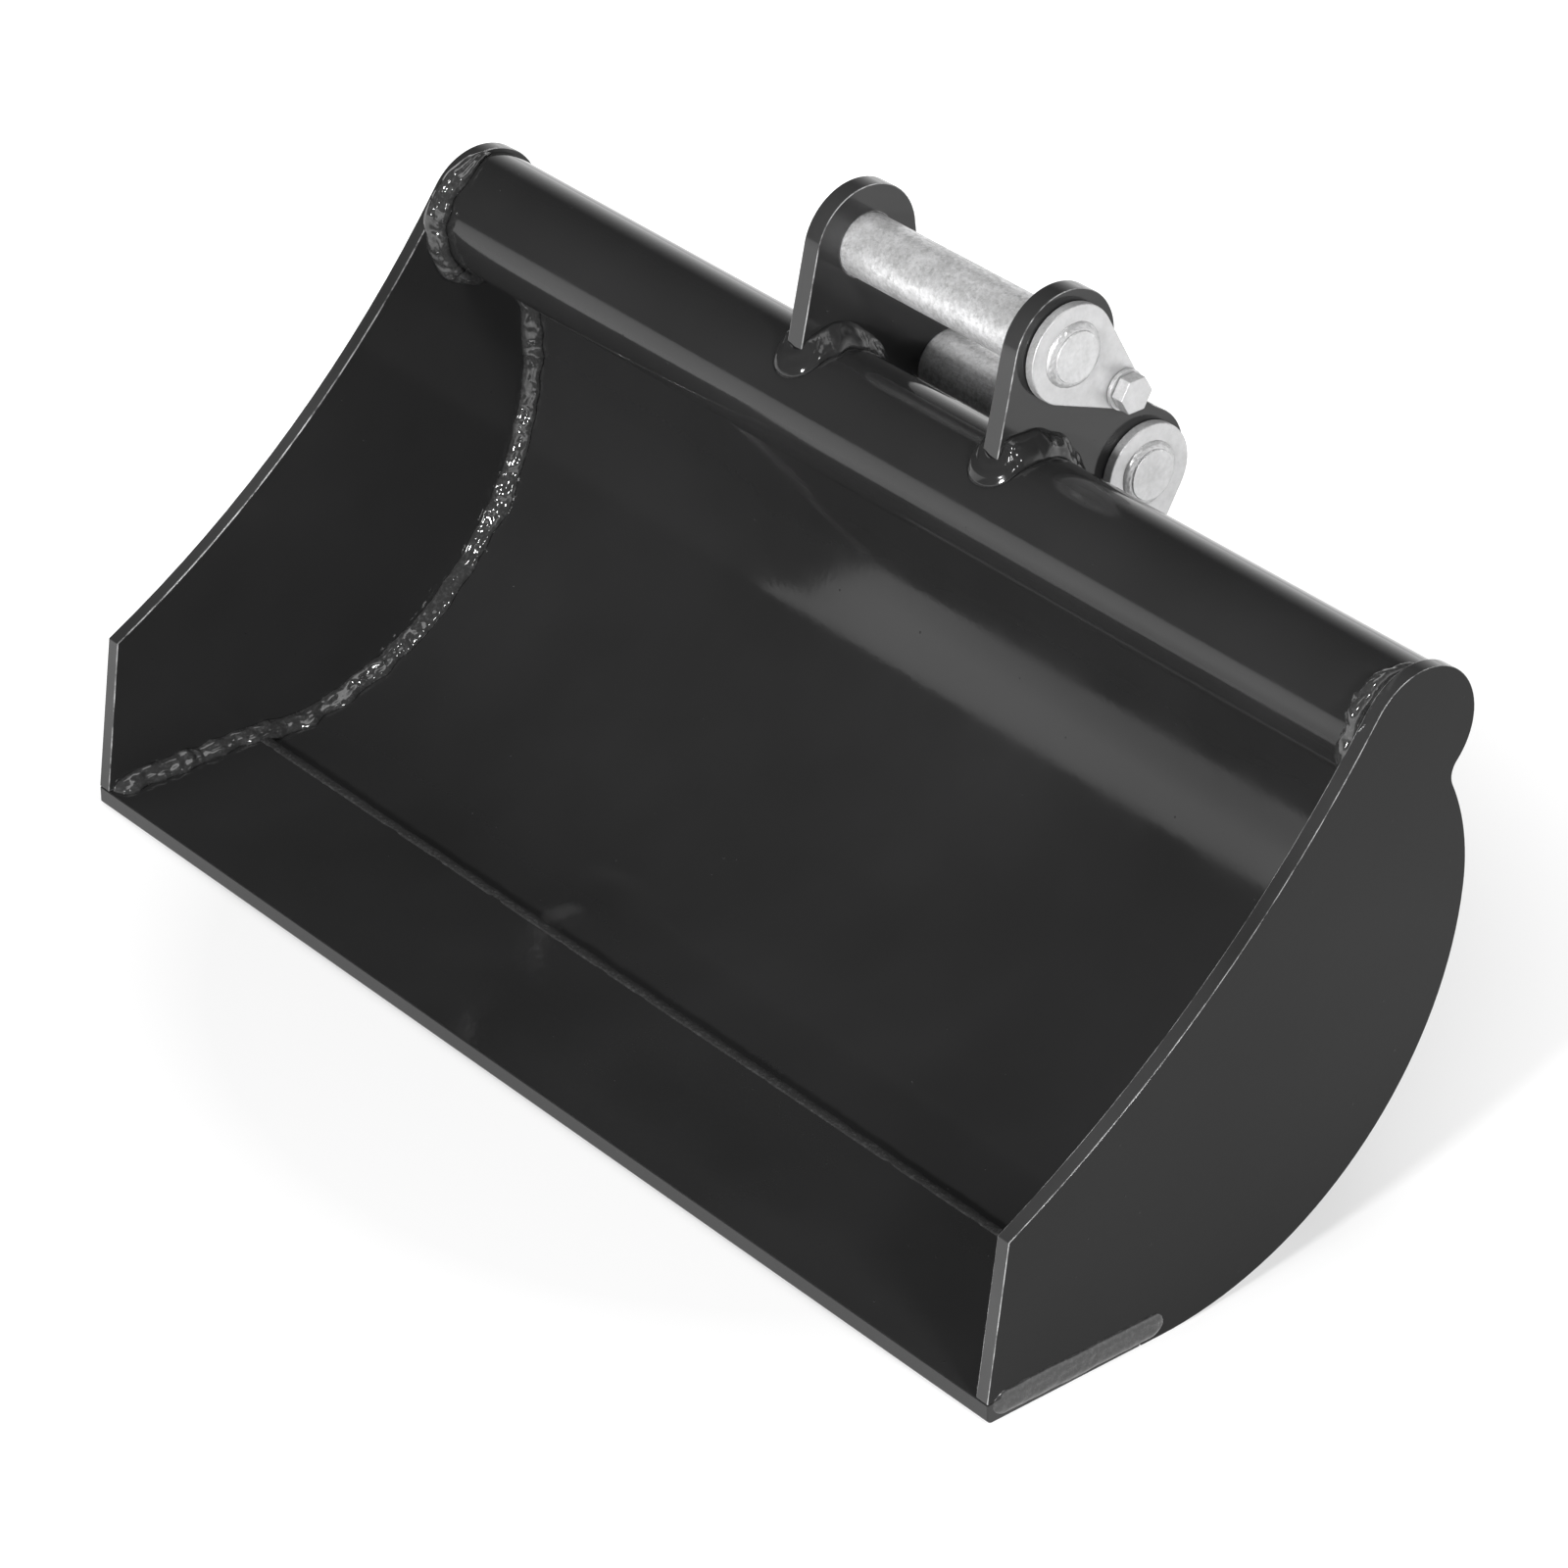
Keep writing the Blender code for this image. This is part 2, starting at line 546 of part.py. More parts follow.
def make_pins():
    for name, centre, angle in (("upper_pin", UPPER_PIN, UPPER_FLAG_ANGLE),
                                ("lower_pin", LOWER_PIN, LOWER_FLAG_ANGLE)):
        make_pin(name, centre)
        make_flag(name, centre, angle)
        make_pin_weld(name, centre)
        bolt = bolt_centre(centre, angle)
        make_washer(name, bolt)
        make_bolt(name, bolt)


clear_scene()
PARTS = new_collection("ditching_bucket")
CUTTERS = new_collection("cutters")
make_side_plates()
make_shell()
make_tube()
make_ears()
make_inner_corner_welds()
make_tube_end_welds()
make_lip_seam_weld()
make_tube_seam_welds()
make_ear_welds()
make_lip_end_welds()
make_pins()
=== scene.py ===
"""Looks for the ditching bucket: gloss charcoal paint, rippled weld beads and zinc plated pins.

Lengths are in metres in the part's frame: X across the bucket, +Y from the lip back to the ears, +Z up.
Outlines are in the (y, z) plane, and angles there are in degrees from +Y towards +Z.
"""
import math

import bmesh
import bpy
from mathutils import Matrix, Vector, noise


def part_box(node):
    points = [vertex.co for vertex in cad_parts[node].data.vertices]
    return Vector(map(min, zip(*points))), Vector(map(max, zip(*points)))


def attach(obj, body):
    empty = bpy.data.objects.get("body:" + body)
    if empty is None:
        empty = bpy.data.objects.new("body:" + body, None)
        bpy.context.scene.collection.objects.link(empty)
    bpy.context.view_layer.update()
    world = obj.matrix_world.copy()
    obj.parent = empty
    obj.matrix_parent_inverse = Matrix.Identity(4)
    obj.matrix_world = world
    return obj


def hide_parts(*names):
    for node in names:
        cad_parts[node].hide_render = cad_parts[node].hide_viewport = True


MM = 0.001

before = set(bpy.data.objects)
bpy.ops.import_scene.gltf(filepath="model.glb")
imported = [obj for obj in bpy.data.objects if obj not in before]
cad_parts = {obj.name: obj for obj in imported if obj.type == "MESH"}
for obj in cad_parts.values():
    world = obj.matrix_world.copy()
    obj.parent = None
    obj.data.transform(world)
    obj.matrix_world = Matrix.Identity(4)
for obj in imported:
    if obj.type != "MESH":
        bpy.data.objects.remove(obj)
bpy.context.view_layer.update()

# ---------------------------------------------------------------- sizes read from the frame

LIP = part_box("cutting_edge")
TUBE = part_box("torque_tube")
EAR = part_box("ear_right")
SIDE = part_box("side_plate_right")

INSIDE_X = SIDE[0].x                       # the side plates' inner faces
OUTSIDE_X = SIDE[1].x
EAR_IN_X = EAR[0].x
EAR_OUT_X = EAR[1].x
LIP_FRONT = LIP[0].y
LIP_BACK = LIP[1].y
LIP_TOP = LIP[1].z
TUBE_CENTRE = ((TUBE[0].y + TUBE[1].y) / 2, (TUBE[0].z + TUBE[1].z) / 2)
TUBE_RADIUS = (TUBE[1].z - TUBE[0].z) / 2

# ---------------------------------------------------------------- the shell's rounds

BELLY_START = LIP_FRONT + 79.5 * MM        # where the flat bottom runs out into the belly
BELLY_RADIUS = 137.4 * MM
BACK_RADIUS = 88 * MM
BACK_START = -4.0                          # degrees on the belly circle
WRAPPER_THICKNESS = 5 * MM
BELLY_CENTRE = (BELLY_START, BELLY_RADIUS)
LEAD = BELLY_RADIUS - BACK_RADIUS
BACK_CENTRE = (BELLY_CENTRE[0] + LEAD * math.cos(math.radians(BACK_START)),
               BELLY_CENTRE[1] + LEAD * math.sin(math.radians(BACK_START)))
EAR_FOOT_ANGLE = 124.0                     # degrees round the tube
EAR_HEEL_ANGLE = -5.0                      # degrees on the back round
EAR_EDGE_ANGLE = 79.0                      # how steeply the ear's front edge rises from its foot
SHARP_ANGLE = 35.0                         # degrees: softer edges are shaded smooth
FLAT_ANGLE = 0.3                           # degrees: faces closer than this are one flat
MERGE_DISTANCE = 1e-6

# ---------------------------------------------------------------- camera and studio

CAMERA_AIM = Vector((129 * MM, LIP_FRONT + 20.3 * MM, 184.4 * MM))
CAMERA_DISTANCE = 2.2457
CAMERA_AZIMUTH = 50.05
CAMERA_ELEVATION = 31.59
CAMERA_LENS = 152.8
CAMERA_SENSOR = 36
FLOOR_HALF = 8.0
FLOOR_DROP = 0.2 * MM                      # keeps the floor clear of the lip's underside
FLOOR_GREY = 0.4
FLOOR_ROUGHNESS = 0.9
FLOOR_SPECULAR = 0.1
NEAR_GLOW = 0.5                            # of the floor itself, under the bucket
FAR_GLOW = 1.0                             # and further out, where the lamps fade
GLOW_CHANGE = (0.22, 0.44)                 # the distances over which one turns into the other
ROOM_GREY = 0.03
BACKDROP_GREY = 1.8                        # just above the horizon behind the bucket
BACKDROP_TOP = 0.55                        # sine of the elevation where the backdrop has faded out
BACKDROP_SIDES = (0.1, 0.5)                # how far a heading points back where it fades in
LAMPS = (("overhead", (-0.3, 0.4, 5.0), (0, 0, 0), 3.6, 110),       # name, place, aim, side, watts
         ("front", (0.95, -2.7, 1.15), (0, 0, 0.15), 0.32, 110),
         ("right", (2.55, -0.65, 1.65), (-0.2, 0, 0.15), 0.45, 36))


def make_camera():
    """Out in front and above on the right, looking at CAMERA_AIM; azimuth 0 is straight in front."""
    azimuth = math.radians(CAMERA_AZIMUTH)
    elevation = math.radians(CAMERA_ELEVATION)
    level = math.cos(elevation)
    back = Vector((math.sin(azimuth) * level, -math.cos(azimuth) * level, math.sin(elevation)))
    camera = bpy.data.objects.new("camera", bpy.data.cameras.new("camera"))
    camera.data.lens = CAMERA_LENS
    camera.data.sensor_width = CAMERA_SENSOR
    camera.location = CAMERA_AIM + back * CAMERA_DISTANCE
    camera.rotation_euler = (-back).to_track_quat("-Z", "Y").to_euler()
    bpy.context.scene.collection.objects.link(camera)
    bpy.context.scene.camera = camera


def make_lamp(name, place, aim, side, watts):
    """A square panel of light that faces a point."""
    light = bpy.data.lights.new(name, "AREA")
    light.shape = "SQUARE"
    light.size = side
    light.energy = watts
    lamp = bpy.data.objects.new(name, light)
    lamp.location = place
    lamp.rotation_euler = (Vector(aim) - Vector(place)).to_track_quat("-Z", "Y").to_euler()
    bpy.context.scene.collection.objects.link(lamp)


def make_room():
    """A dark room with a pale backdrop behind the bucket that fades out upwards."""
    world = bpy.data.worlds.new("studio")
    bpy.context.scene.world = world
    world.use_nodes = True
    tree = world.node_tree
    heading = add_node(tree, "ShaderNodeTexCoord").outputs["Generated"]
    parts = add_node(tree, "ShaderNodeSeparateXYZ", Vector=heading).outputs
    height = spread(tree, parts["Z"], 1.0, 0.0, 0.0, BACKDROP_TOP)
    behind = spread(tree, parts["Y"], 0.0, 1.0, *BACKDROP_SIDES)
    backdrop = calculate(tree, "MULTIPLY", height, behind)
    grey = spread(tree, backdrop, ROOM_GREY, BACKDROP_GREY, 0.0, 1.0)
    tree.links.new(grey, tree.nodes["Background"].inputs["Color"])


def make_floor():
    """A matt white floor that glows more further out, where the lamps fade."""
    mesh = bpy.data.meshes.new("floor")
    work = bmesh.new()
    bmesh.ops.create_grid(work, x_segments=1, y_segments=1, size=FLOOR_HALF)
    work.to_mesh(mesh)
    work.free()
    floor = bpy.data.objects.new("floor", mesh)
    floor.location.z = -FLOOR_DROP
    bpy.context.scene.collection.objects.link(floor)
    material, shader, tree = new_material("white_floor", (FLOOR_GREY,) * 3, FLOOR_ROUGHNESS)
    shader.inputs["Specular IOR Level"].default_value = FLOOR_SPECULAR
    shader.inputs["Emission Color"].default_value = (1, 1, 1, 1)
    away = tree.nodes.new("ShaderNodeVectorMath")
    away.operation = "LENGTH"
    tree.links.new(object_place(tree), away.inputs[0])
    glow = spread(tree, away.outputs["Value"], NEAR_GLOW, FAR_GLOW, *GLOW_CHANGE)
    tree.links.new(glow, shader.inputs["Emission Strength"])
    mesh.materials.append(material)


def make_studio():
    """A white floor in a dark room, lit from above, from in front and from the right."""
    make_room()
    make_floor()
    for lamp in LAMPS:
        make_lamp(*lamp)
    bpy.context.scene.view_settings.view_transform = "Standard"


# ---------------------------------------------------------------- materials

PAINT_COLOUR = (0.02, 0.02, 0.021)
PAINT_IOR = 1.42
PAINT_GREYS = (0.017, 0.023)               # each pair of greys is the darkest and the lightest
PAINT_ROUGHNESS = (0.07, 0.14)
PAINT_TYPICAL_ROUGHNESS = 0.08
CUT_EDGE_GREYS = (0.02, 0.045)
# Painted highlight: light greys on the plates' arrises, partly bare wear and partly standing for the glint of
# light along them.
ARRIS_WEAR_AND_GLINT_GREYS = (0.22, 0.5)
# Painted shade: darker greys for the side plates' outer faces than the same paint has elsewhere.
OUTER_SHADE_GREYS = (0.005, 0.007)
OUTER_SPECULAR = (0.5, 0.22)               # elsewhere and on the outer faces
PEEL_HEIGHT = 0.012 * MM
SPECK_HEIGHT = 0.12 * MM
SPECKS_PER_METRE = 110.0
SPECK_SIZE = 0.05                          # of the spacing
WELD_IOR = 1.6
WELD_ROUGHNESS = (0.04, 0.12)
# Lighter than the paint elsewhere: a painted sheen for the light the beads catch, mottled at random as
# spatter.
SPATTER_AND_SHEEN_GREYS = (0.03, 0.055)
ZINC_COLOUR = (0.6, 0.6, 0.6)
ZINC_METALLIC = 0.55
ZINC_ROUGHNESS = (0.5, 0.28)
ZINC_TYPICAL_ROUGHNESS = 0.4
STREAK_STRETCH = (0.3, 1.0, 1.0)           # scratches run along the pins


def new_material(name, colour, roughness, metallic=0.0):
    """A plain material to build on, with its shader and its node tree."""
    material = bpy.data.materials.new(name)
    material.use_nodes = True
    shader = material.node_tree.nodes["Principled BSDF"]
    shader.inputs["Base Color"].default_value = (*colour, 1)
    shader.inputs["Roughness"].default_value = roughness
    shader.inputs["Metallic"].default_value = metallic
    return material, shader, material.node_tree


def add_node(tree, kind, **sockets):
    """A shader node with some of its input sockets set or linked, by name."""
    node = tree.nodes.new(kind)
    for name, value in sockets.items():
        socket = node.inputs[name.replace("_", " ")]
        if isinstance(value, bpy.types.NodeSocket):
            tree.links.new(value, socket)
        else:
            socket.default_value = value
    return node


def object_place(tree):
    return add_node(tree, "ShaderNodeTexCoord").outputs["Object"]


def speckle(tree, scale, detail=2.0, rough=0.5):
    """Soft noise between 0 and 1 over the object's own coordinates; scale is in waves to the metre."""
    return add_node(tree, "ShaderNodeTexNoise", Vector=object_place(tree), Scale=scale, Detail=detail,
                    Roughness=rough).outputs["Fac"]


def spread(tree, value, low, high, start=0.3, end=0.7):
    """A value from start to end stretched over low to high."""
    return add_node(tree, "ShaderNodeMapRange", Value=value, From_Min=start, From_Max=end, To_Min=low,
                    To_Max=high).outputs["Result"]


def grey_ramp(tree, value, low, high):
    """A grey between low and high, very slightly blue at its lightest."""
    ramp = tree.nodes.new("ShaderNodeValToRGB")
    ramp.color_ramp.elements[0].color = (low, low, low, 1)
    ramp.color_ramp.elements[1].color = (high, high, high * 1.01, 1)
    tree.links.new(value, ramp.inputs["Fac"])
    return ramp.outputs["Color"]


def calculate(tree, operation, *values):
    """The result of a math node on some linked values."""
    node = tree.nodes.new("ShaderNodeMath")
    node.operation = operation
    for value, socket in zip(values, node.inputs):
        tree.links.new(value, socket)
    return node.outputs["Value"]


def sideways(tree, output):
    """How far a vector of the surface reaches across the bucket, to either side."""
    vector = add_node(tree, "ShaderNodeNewGeometry").outputs[output]
    across = add_node(tree, "ShaderNodeSeparateXYZ", Vector=vector).outputs["X"]
    return calculate(tree, "ABSOLUTE", across)


def blend_colours(tree, factor, first, second):
    """The first colour where the factor is 0, and the second where it is 1."""
    mix = tree.nodes.new("ShaderNodeMix")
    mix.data_type = "RGBA"
    sockets = [socket for socket in mix.inputs if socket.type == "RGBA"]
    tree.links.new(factor, mix.inputs["Factor"])
    tree.links.new(first, sockets[0])
    tree.links.new(second, sockets[1])
    return [socket for socket in mix.outputs if socket.type == "RGBA"][0]


def bump(tree, height, distance, strength=1.0, under=None):
    """The surface's normal with a relief, laid over another relief's normal if there is one."""
    node = add_node(tree, "ShaderNodeBump", Height=height, Distance=distance, Strength=strength)
    if under is not None:
        tree.links.new(under, node.inputs["Normal"])
    return node.outputs["Normal"]


def dust_specks(tree, scale, size):
    """Raised round specks, far apart: 1 on a speck and 0 elsewhere."""
    cells = add_node(tree, "ShaderNodeTexVoronoi", Vector=object_place(tree), Scale=scale)
    return spread(tree, cells.outputs["Distance"], 1.0, 0.0, 0.0, size)


def cut_edges_with_arris_glint(tree, colour, tone):
    """A plate's narrow cut edges, which face across its flat sides: lighter, and with light grey dashes on
    their arrises, partly bare wear and partly a painted highlight for the glint of light along them.

    The lean is 1 on the flat sides, 0 on the cut edges and in between on the arrises.
    """
    lean = sideways(tree, "True Normal")
    edge = spread(tree, lean, 1.0, 0.0, 0.2, 0.6)
    colour = blend_colours(tree, edge, colour, grey_ramp(tree, tone, *CUT_EDGE_GREYS))
    off_face = spread(tree, lean, 1.0, 0.0, 0.95, 0.97)
    off_edge = spread(tree, lean, 0.0, 1.0, 0.25, 0.3)
    bevel = calculate(tree, "MULTIPLY", off_face, off_edge)
    # Painted highlight: broken light grey dashes on the arrises, partly wear and partly their glint painted
    # in.
    wear_and_glint_dashes = spread(tree, speckle(tree, 120.0, 4.0, 0.7), 0.1, 0.9, 0.36, 0.6)
    arris_wear_and_glint = calculate(tree, "MULTIPLY", bevel, wear_and_glint_dashes)
    return blend_colours(tree, arris_wear_and_glint, colour, grey_ramp(tree, tone, *ARRIS_WEAR_AND_GLINT_GREYS))


def paint_relief(tree):
    """Orange peel and a few specks of dust and spatter."""
    peel = bump(tree, speckle(tree, 420.0, 1.0), PEEL_HEIGHT)
    return bump(tree, dust_specks(tree, SPECKS_PER_METRE, SPECK_SIZE), SPECK_HEIGHT, 1.0, peel)


def paint_material(name, cut_edges=False, shaded_outer_faces=False):
    """Gloss charcoal paint. On the side plates' outer faces it is painted darker, as painted shade, with a
    lower specular level.
    """
    material, shader, tree = new_material(name, PAINT_COLOUR, PAINT_TYPICAL_ROUGHNESS)
    shader.inputs["IOR"].default_value = PAINT_IOR
    tone = spread(tree, speckle(tree, 9.0, 3.0), 0.0, 1.0)
    colour = grey_ramp(tree, tone, *PAINT_GREYS)
    if cut_edges:
        colour = cut_edges_with_arris_glint(tree, colour, tone)
    if shaded_outer_faces:
        # Painted shade: the side plates' outer faces get a darker copy of the paint.
        reach = sideways(tree, "Position")
        outer = spread(tree, reach, 0.0, 1.0, OUTSIDE_X - 0.15 * MM, OUTSIDE_X - 0.05 * MM)
        colour = blend_colours(tree, outer, colour, grey_ramp(tree, tone, *OUTER_SHADE_GREYS))
        specular = spread(tree, outer, *OUTER_SPECULAR, 0.0, 1.0)
        tree.links.new(specular, shader.inputs["Specular IOR Level"])
    tree.links.new(colour, shader.inputs["Base Color"])
    gloss = spread(tree, speckle(tree, 35.0, 4.0), *PAINT_ROUGHNESS)
    tree.links.new(gloss, shader.inputs["Roughness"])
    tree.links.new(paint_relief(tree), shader.inputs["Normal"])
    return material


def weld_material(name):
    """The same paint over a weld: wetter, and lighter all over as a painted sheen for the light the beads
    catch, with a random mottle of spatter.
    """
    material, shader, tree = new_material(name, PAINT_COLOUR, PAINT_TYPICAL_ROUGHNESS)
    shader.inputs["IOR"].default_value = WELD_IOR
    # Painted sheen: the whole bead is lighter than the paint elsewhere, with a random spatter mottle.
    spatter = spread(tree, speckle(tree, 700.0, 3.0, 0.6), 0.0, 1.0, 0.5, 0.7)
    tree.links.new(grey_ramp(tree, spatter, *SPATTER_AND_SHEEN_GREYS), shader.inputs["Base Color"])
    gloss = spread(tree, speckle(tree, 300.0, 2.0), *WELD_ROUGHNESS)
    tree.links.new(gloss, shader.inputs["Roughness"])
    tree.links.new(paint_relief(tree), shader.inputs["Normal"])
    return material


def zinc_material(name, dark, bright, grain):
    """Bright zinc plate: a scratchy crystalline mottle, calmer on the faces that look sideways."""
    material, shader, tree = new_material(name, ZINC_COLOUR, ZINC_TYPICAL_ROUGHNESS, ZINC_METALLIC)
    fine = speckle(tree, 520.0, 5.0, 0.75)
    broad = speckle(tree, 120.0, 3.0, 0.6)
    stretched = add_node(tree, "ShaderNodeMapping", Vector=object_place(tree), Scale=STREAK_STRETCH)
    streaks = add_node(tree, "ShaderNodeTexNoise", Vector=stretched.outputs["Vector"], Scale=600.0,
                       Detail=4.0).outputs["Fac"]
    blotches = grey_ramp(tree, spread(tree, broad, 0.0, 1.0, 0.35, 0.65), dark + 0.1, bright)
    crystals = grey_ramp(tree, spread(tree, fine, 0.0, 1.0, 0.38, 0.62), dark, bright + 0.1)
    mottle = blend_colours(tree, spread(tree, streaks, 0.2, 0.9), blotches, crystals)
    lean = sideways(tree, "True Normal")
    calm = spread(tree, lean, 0.0, 0.8, 0.9, 0.95)
    colour = blend_colours(tree, calm, mottle, grey_ramp(tree, broad, dark + 0.06, dark + 0.26))
    tree.links.new(colour, shader.inputs["Base Color"])
    tree.links.new(spread(tree, fine, *ZINC_ROUGHNESS), shader.inputs["Roughness"])
    relief = spread(tree, lean, 0.9, 0.25, 0.9, 0.95)
    scratched = bump(tree, streaks, grain, relief)
    tree.links.new(bump(tree, fine, grain, relief, scratched), shader.inputs["Normal"])
    return material


# ---------------------------------------------------------------- plane geometry

def polar(centre, radius, degrees):
    """The point at an angle round a circle."""
    angle = math.radians(degrees)
    return (centre[0] + radius * math.cos(angle), centre[1] + radius * math.sin(angle))


def direction(centre, point):
    """The angle at which a point lies from a centre."""
    return math.degrees(math.atan2(point[1] - centre[1], point[0] - centre[0]))


def crossing(centre_a, radius_a, centre_b, radius_b, side):
    """Where two circles cross; side +1 is to the left of the line from a to b."""
    a = Vector(centre_a)
    b = Vector(centre_b)
    along = (b - a).normalized()
    distance = (b - a).length
    reach = (distance ** 2 + radius_a ** 2 - radius_b ** 2) / (2 * distance)
    height = math.sqrt(radius_a ** 2 - reach ** 2)
    point = a + along * reach + Vector((-along.y, along.x)) * height * side
    return (point.x, point.y)


def radial(degrees):
    """The unit vector at an angle, in a plane across X."""
    angle = math.radians(degrees)
    return Vector((0, math.cos(angle), math.sin(angle)))


def at(x, point):
    """A point of an outline, placed at x."""
    return Vector((x, point[0], point[1]))


# ---------------------------------------------------------------- weld beads

STATION_STEP = 0.55 * MM
FACE_POINTS = 11
SINK = 0.15 * MM                           # toes sit this far inside the plates
ARC_STEPS = 40
BLUNT_END = 0.2                            # how much of its size an open bead keeps at its ends
SEEDS_APART = 7.3                          # keeps one bead's noise clear of the next one's
OTHER_TOE = Vector((31, 5, 9))             # and the second toe's clear of the first one's
LUMPS_PER_METRE = 120                      # the noise that moves the toes
GRAINS_PER_METRE = 240                     # along the bead
GRAINS_ACROSS = 4.5

# Each bead's two legs, up the one piece and along the other.
INNER_CORNER_LEGS = (5.0 * MM, 6.6 * MM)
LIP_SEAM_LEGS = (3.9 * MM, 5.0 * MM)
TUBE_SEAM_LEGS = (5.0 * MM, 5.0 * MM)
TUBE_END_LEGS = (6.2 * MM, 6.6 * MM)
EAR_LEGS = (7.4 * MM, 7.0 * MM)
LIP_END_LEGS = (5.5 * MM, 5.6 * MM)
PIN_RING_LEGS = (2.0 * MM, 2.9 * MM)

SEAM_END_GAP = 3 * MM                      # the lip seam stops this far from the side plates
SEAM_TOE_ANGLE = 125                       # its front toe leans forward over the lip's edge
EAR_CLEARANCE = 4 * MM                     # the tube seams stop this far from the ears
TUBE_END_ARC = (84, 267)                   # degrees round the tube, over the front and down
TUBE_END_STEP = 3                          # degrees
TUBE_END_SWELL = 50                        # degrees over which the bead grows to its full size
EAR_HEEL_GAP = 3                           # degrees left bare at the ear's heel
EAR_SWELL_ARC = (40, 134)                  # degrees round the tube where the ear's beads are fuller
EAR_LEAN_RATE = 1.4                        # how fast the toe turns away from the ear's front edge
# The middle of the lip's end bead: behind the lip's front edge, and up.
LIP_END_LINE = ((2.5 * MM, 6.5 * MM), (BELLY_START - LIP_FRONT + 1 * MM, 6.1 * MM))
PIN_TURNED_DOWN = 2.5 * MM                 # the pin's end is this much smaller in radius
PIN_RING_STEP = 6                          # degrees


def resample(stations, step):
    """Evenly spaced (root, toe direction a, toe direction b, swell, distance) along the stations."""
    lengths = [0.0]
    for before, after in zip(stations, stations[1:]):
        lengths.append(lengths[-1] + (after[0] - before[0]).length)
    count = max(2, round(lengths[-1] / step))
    even = []
    index = 0
    for i in range(count + 1):
        target = lengths[-1] * i / count
        while index < len(stations) - 2 and lengths[index + 1] < target:
            index += 1
        span = max(lengths[index + 1] - lengths[index], 1e-9)
        mix = min(1.0, (target - lengths[index]) / span)
        before, after = stations[index], stations[index + 1]
        root = before[0].lerp(after[0], mix)
        toe_a = before[1].lerp(after[1], mix).normalized()
        toe_b = before[2].lerp(after[2], mix).normalized()
        even.append((root, toe_a, toe_b, before[3] + (after[3] - before[3]) * mix, target))
    return even


def lump(phase):
    """A round back with a sharp valley at each whole number."""
    part = phase % 1.0
    return 1 - (2 * part - 1) ** 2


def bead_ring(shape, station, legs, looks, round_off, out):
    """The vertices round one cross-section of a bead: its face from toe to toe, then its root."""
    root, toe_a, toe_b, swell, along = station
    seed = Vector((looks["seed"] * SEEDS_APART, 0, 0))
    spot = root * LUMPS_PER_METRE + seed
    wander_a = noise.noise(spot) * looks["wander"]
    wander_b = noise.noise(spot + OTHER_TOE) * looks["wander"]
    outward = out if out is not None else (toe_a + toe_b).normalized()
    leg_a = legs[0] * swell * (1 + wander_a) * round_off
    leg_b = legs[1] * swell * (1 + wander_b) * round_off
    toe_1 = root + toe_a * leg_a - outward * SINK
    toe_2 = root + toe_b * leg_b - outward * SINK
    width = (toe_2 - toe_1).length
    ring = []
    for i in range(FACE_POINTS):
        u = i / (FACE_POINTS - 1)          # 0 at toe a, 1 at toe b
        arch = 1 - (2 * u - 1) ** 2
        uneven = noise.noise(spot * 0.6 + Vector((0, 0, u))) * 0.9
        ripple = lump(along / looks["pitch"] + uneven - looks["bow"] * arch)
        blob = lump(along / looks["blob_pitch"] + uneven * 2 - 0.25 * arch)
        grain_spot = Vector((along * GRAINS_PER_METRE, u * GRAINS_ACROSS, 0)) + seed
        rough = noise.noise(grain_spot) * looks["grain"]
        ridges = math.sin(2 * math.pi * u) ** 2 * looks["ridge"]
        relief = looks["ripple"] * ripple + looks["blob"] * blob + rough + ridges
        rise = looks["bulge"] * width * arch * swell + relief * arch ** 0.5 * round_off
        ring.append(shape.verts.new(toe_1.lerp(toe_2, u) + outward * rise))
    ring.append(shape.verts.new(root - outward * SINK))
    return ring


def skin(shape, rings, closed):
    """Faces between neighbouring rings, and over the two ends of an open bead."""
    pairs = list(zip(rings, rings[1:]))
    if closed:
        pairs.append((rings[-1], rings[0]))
    for before, after in pairs:
        for i in range(len(before)):
            j = (i + 1) % len(before)
            shape.faces.new((before[i], before[j], after[j], after[i]))
    if not closed:
        shape.faces.new(rings[0])
        shape.faces.new(rings[-1])
    bmesh.ops.recalc_face_normals(shape, faces=shape.faces)


def bead(name, stations, legs, looks, body="bucket", material=None, closed=False, out=None):
    """A rippled weld bead: a face swept from one toe to the other, with its root in the corner.

    stations are (root, direction of toe a, direction of toe b, swell). looks holds the pitch and height
    of the ripples and blobs, the crown's bulge, the height of the two ridges along it, how far a ripple
    bows, how much the toes wander, the grain's height, the length of the tapered ends and a seed. out is
    the way the face looks, where it isn't halfway between the toes.
    """
    even = resample(stations, STATION_STEP)
    total = even[-1][4]
    shape = bmesh.new()
    rings = []
    for station in even[:-1] if closed else even:
        along = station[4]
        end = 1.0 if closed else min(1.0, min(along, total - along) / looks["taper"])
        round_off = math.sqrt(max(BLUNT_END ** 2, 1 - (1 - end) ** 2))
        rings.append(bead_ring(shape, station, legs, looks, round_off, out))
    skin(shape, rings, closed)
    mesh = bpy.data.meshes.new(name)
    shape.to_mesh(mesh)
    shape.free()
    mesh.shade_smooth()
    mesh.materials.append(material or WELD_PAINT)
    piece = bpy.data.objects.new(name, mesh)
    bpy.context.scene.collection.objects.link(piece)
    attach(piece, body)
    return piece


def bead_looks(seed, **changes):
    """An ordinary bead's looks, with some of them changed."""
    looks = {"pitch": 5 * MM, "ripple": 0.25 * MM, "blob_pitch": 15 * MM, "blob": 0.4 * MM, "bulge": 0.05,
             "ridge": 0.55 * MM, "bow": 1.5, "wander": 0.34, "grain": 0.6 * MM, "taper": 4 * MM, "seed": seed}
    looks.update(changes)
    return looks


